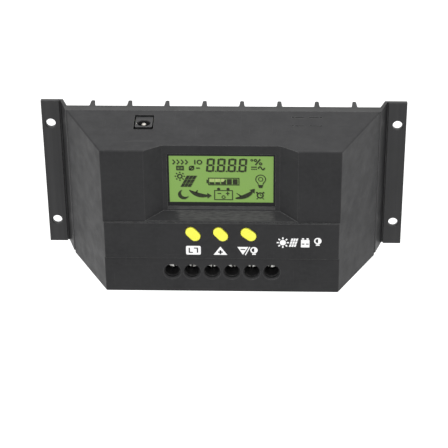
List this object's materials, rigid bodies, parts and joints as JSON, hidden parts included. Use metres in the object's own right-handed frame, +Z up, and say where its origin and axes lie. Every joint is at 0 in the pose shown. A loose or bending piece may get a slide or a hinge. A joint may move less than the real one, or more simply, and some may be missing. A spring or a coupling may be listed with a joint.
{
  "type": "solar charge controller",
  "caption": "Wall-mounted solar charge controller with a finned heat sink, a sloping cover, a sunken display, buttons and recessed screw terminals.",
  "frame": {"origin": "centre of the rectangle of wall holes, on the wall plane (the rear face of the ears)", "axes": "+X to the right as seen from the front, +Y into the wall, +Z up"},
  "size_m": [0.188, 0.0495, 0.086],
  "materials": {
    "anodised_sink": "satin black anodised",
    "cover_plastic": "fine texture",
    "zinc_steel": "bright zinc",
    "circuit_board": "green solder mask",
    "brass_parts": "bright",
    "thermal_pad": "grey silicone",
    "tinned_metal": "tinned copper",
    "epoxy": "moulded epoxy",
    "capacitor_sleeve": "shrink sleeve",
    "copper_winding": "enamelled copper",
    "copper_alloy": "bare alloy",
    "housing_plastic": "moulded",
    "lcd_film": "green film",
    "lcd_cell": "clear",
    "light_guide": "diffusing",
    "white_holder": "moulded",
    "terminal_plastic": "moulded black",
    "nickel": "nickel plate",
    "button_yellow": "moulded yellow"
  },
  "bodies": {
    "housing": {"heatsink": "anodised_sink", "front_cover": "cover_plastic", "cover_screws": "zinc_steel", "main_pcb": "circuit_board", "pcb_spacers": "brass_parts", "pcb_screws": "zinc_steel", "insulating_pads": "thermal_pad", "transistor_tabs": "tinned_metal", "transistor_packages": "epoxy", "transistor_screws": "zinc_steel", "capacitors": "capacitor_sleeve", "choke": "copper_winding", "shunts": "copper_alloy", "microcontroller": "epoxy", "buzzer": "housing_plastic", "temperature_sensor": "epoxy", "display_pcb": "circuit_board", "display_pcb_screws": "zinc_steel", "link_header": "housing_plastic", "lcd_polariser": "lcd_film", "lcd_glass": "lcd_cell", "lcd_backlight": "light_guide", "lcd_frame": "white_holder", "lcd_pins": "tinned_metal", "tact_switches": "housing_plastic", "terminal_block": "terminal_plastic", "terminal_contacts": "tinned_metal", "dc_jack": "terminal_plastic", "dc_jack_pin": "nickel", "dc_jack_spring": "nickel"},
    "button_menu": {"button_menu": "button_yellow", "plunger_menu": "housing_plastic"},
    "button_up": {"button_up": "button_yellow", "plunger_up": "housing_plastic"},
    "button_down": {"button_down": "button_yellow", "plunger_down": "housing_plastic"},
    "terminal_screw_1": {"terminal_screw_1": "nickel"},
    "clamp_cage_1": {"clamp_cage_1": "zinc_steel"},
    "terminal_screw_2": {"terminal_screw_2": "nickel"},
    "clamp_cage_2": {"clamp_cage_2": "zinc_steel"},
    "terminal_screw_3": {"terminal_screw_3": "nickel"},
    "clamp_cage_3": {"clamp_cage_3": "zinc_steel"},
    "terminal_screw_4": {"terminal_screw_4": "nickel"},
    "clamp_cage_4": {"clamp_cage_4": "zinc_steel"},
    "terminal_screw_5": {"terminal_screw_5": "nickel"},
    "clamp_cage_5": {"clamp_cage_5": "zinc_steel"},
    "terminal_screw_6": {"terminal_screw_6": "nickel"},
    "clamp_cage_6": {"clamp_cage_6": "zinc_steel"}
  },
  "joints": [
    {"name": "button_menu_press", "type": "slide", "parent": "housing", "child": "button_menu", "axis": [0, 1, 0], "range_m": [0, 0.0005], "stiffness_N_per_m": 2000, "springref_m": -0.0001},
    {"name": "button_up_press", "type": "slide", "parent": "housing", "child": "button_up", "axis": [0, 1, 0], "range_m": [0, 0.0005], "stiffness_N_per_m": 2000, "springref_m": -0.0001},
    {"name": "button_down_press", "type": "slide", "parent": "housing", "child": "button_down", "axis": [0, 1, 0], "range_m": [0, 0.0005], "stiffness_N_per_m": 2000, "springref_m": -0.0001},
    {"name": "terminal_screw_1_turn", "type": "hinge", "parent": "housing", "child": "terminal_screw_1", "pos_m": [-0.0254, -0.0385, -0.0319], "axis": [0, 1, 0], "range_deg": [0, 2880]},
    {"name": "clamp_cage_1_rise", "type": "slide", "parent": "housing", "child": "clamp_cage_1", "axis": [0, -1, 0], "range_m": [0, 0.0056]},
    {"name": "terminal_screw_2_turn", "type": "hinge", "parent": "housing", "child": "terminal_screw_2", "pos_m": [-0.01524, -0.0385, -0.0319], "axis": [0, 1, 0], "range_deg": [0, 2880]},
    {"name": "clamp_cage_2_rise", "type": "slide", "parent": "housing", "child": "clamp_cage_2", "axis": [0, -1, 0], "range_m": [0, 0.0056]},
    {"name": "terminal_screw_3_turn", "type": "hinge", "parent": "housing", "child": "terminal_screw_3", "pos_m": [-0.00508, -0.0385, -0.0319], "axis": [0, 1, 0], "range_deg": [0, 2880]},
    {"name": "clamp_cage_3_rise", "type": "slide", "parent": "housing", "child": "clamp_cage_3", "axis": [0, -1, 0], "range_m": [0, 0.0056]},
    {"name": "terminal_screw_4_turn", "type": "hinge", "parent": "housing", "child": "terminal_screw_4", "pos_m": [0.00508, -0.0385, -0.0319], "axis": [0, 1, 0], "range_deg": [0, 2880]},
    {"name": "clamp_cage_4_rise", "type": "slide", "parent": "housing", "child": "clamp_cage_4", "axis": [0, -1, 0], "range_m": [0, 0.0056]},
    {"name": "terminal_screw_5_turn", "type": "hinge", "parent": "housing", "child": "terminal_screw_5", "pos_m": [0.01524, -0.0385, -0.0319], "axis": [0, 1, 0], "range_deg": [0, 2880]},
    {"name": "clamp_cage_5_rise", "type": "slide", "parent": "housing", "child": "clamp_cage_5", "axis": [0, -1, 0], "range_m": [0, 0.0056]},
    {"name": "terminal_screw_6_turn", "type": "hinge", "parent": "housing", "child": "terminal_screw_6", "pos_m": [0.0254, -0.0385, -0.0319], "axis": [0, 1, 0], "range_deg": [0, 2880]},
    {"name": "clamp_cage_6_rise", "type": "slide", "parent": "housing", "child": "clamp_cage_6", "axis": [0, -1, 0], "range_m": [0, 0.0056]}
  ],
  "couplings": [
    {"joint": "terminal_screw_1_turn", "follows": "clamp_cage_1_rise", "rad_per_m": 8976},
    {"joint": "terminal_screw_2_turn", "follows": "clamp_cage_2_rise", "rad_per_m": 8976},
    {"joint": "terminal_screw_3_turn", "follows": "clamp_cage_3_rise", "rad_per_m": 8976},
    {"joint": "terminal_screw_4_turn", "follows": "clamp_cage_4_rise", "rad_per_m": 8976},
    {"joint": "terminal_screw_5_turn", "follows": "clamp_cage_5_rise", "rad_per_m": 8976},
    {"joint": "terminal_screw_6_turn", "follows": "clamp_cage_6_rise", "rad_per_m": 8976}
  ]
}
